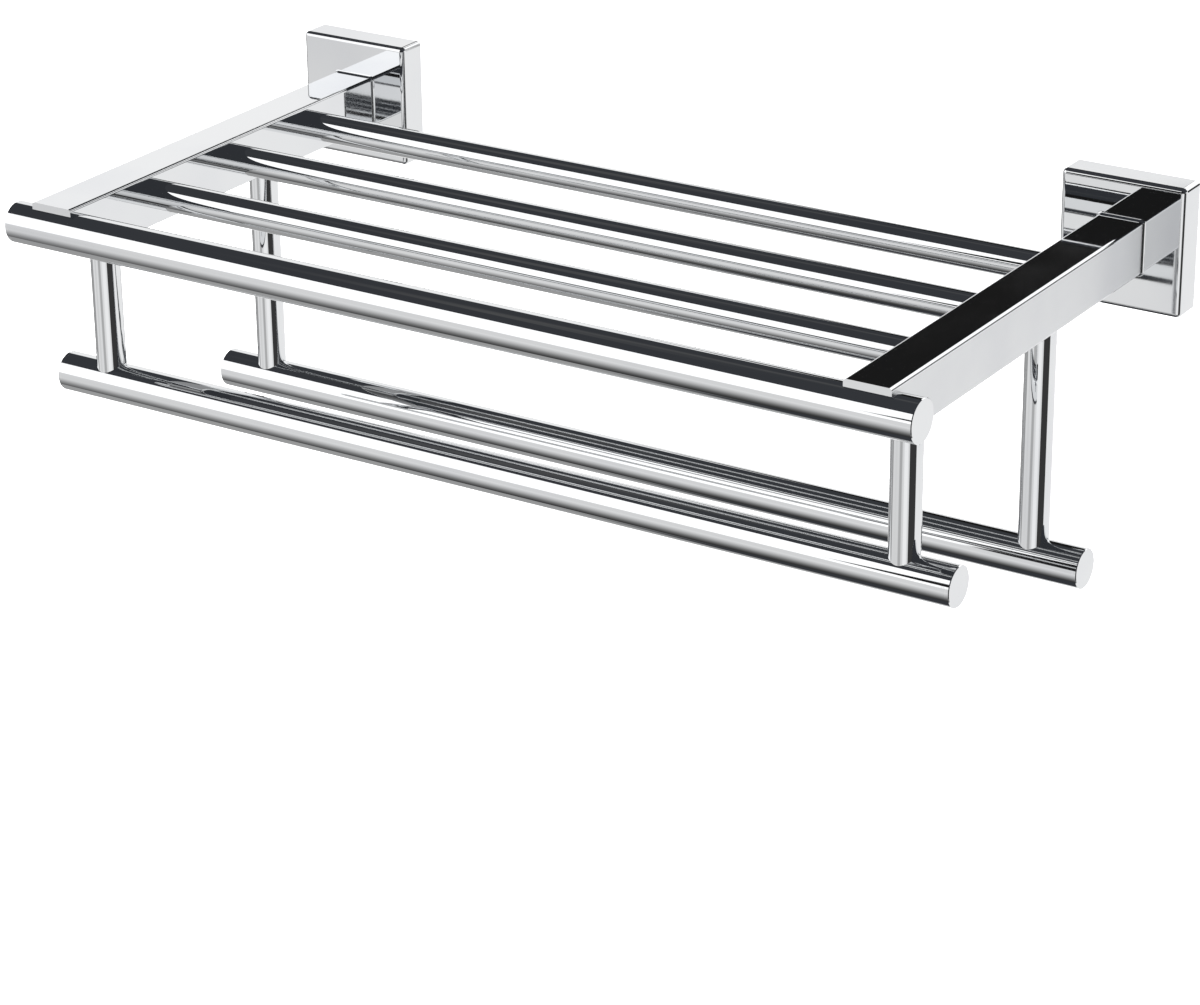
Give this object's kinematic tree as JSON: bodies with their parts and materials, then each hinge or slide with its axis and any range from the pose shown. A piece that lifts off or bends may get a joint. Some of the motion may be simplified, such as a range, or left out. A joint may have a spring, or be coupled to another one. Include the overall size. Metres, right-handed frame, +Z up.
{
  "type": "wall-mounted towel rack",
  "caption": "Wall-mounted chrome towel rack: an open rod shelf between box-section arms with a round front rail, and towel bars hung below on posts.",
  "frame": {"origin": "on the wall plane, midway between the two wall flanges, at the height of the arms' centre lines and of the middle of the screw pattern", "axes": "+X along the rail and the towel bars, +Y into the wall, +Z up; the rack reaches out along -Y"},
  "size_m": [0.412, 0.2183, 0.1395],
  "materials": {
    "chrome_arm": "mirror-polished chrome plating on box-section tube",
    "chrome_tube": "mirror-polished chrome plating on round tube",
    "chrome_cap": "mirror-polished chrome plating, flat turned face",
    "chrome_flange": "mirror-polished chrome plating on a die-cast cover",
    "zinc_plate": "bright zinc-plated sheet steel",
    "fastener_steel": "plain stainless steel screws",
    "plug_steel": "machined steel block"
  },
  "bodies": {
    "root": {"wall_bracket_left": "zinc_plate", "flange_left": "chrome_flange", "arm_left": "chrome_arm", "arm_plug_left": "plug_steel", "post_front_left": "chrome_tube", "post_rear_left": "chrome_tube", "wall_bracket_right": "zinc_plate", "flange_right": "chrome_flange", "arm_right": "chrome_arm", "arm_plug_right": "plug_steel", "post_front_right": "chrome_tube", "post_rear_right": "chrome_tube", "set_screws": "fastener_steel", "arm_screws": "fastener_steel", "arm_washers": "zinc_plate", "shelf_rod_rear": "chrome_tube", "shelf_rod_middle": "chrome_tube", "shelf_rod_front": "chrome_tube", "front_rail": "chrome_tube", "front_rail_cap_left": "chrome_cap", "front_rail_cap_right": "chrome_cap", "front_towel_bar": "chrome_tube", "front_towel_bar_cap_left": "chrome_cap", "front_towel_bar_cap_right": "chrome_cap", "rear_towel_bar": "chrome_tube", "rear_towel_bar_cap_left": "chrome_cap", "rear_towel_bar_cap_right": "chrome_cap"}
  },
  "joints": []
}
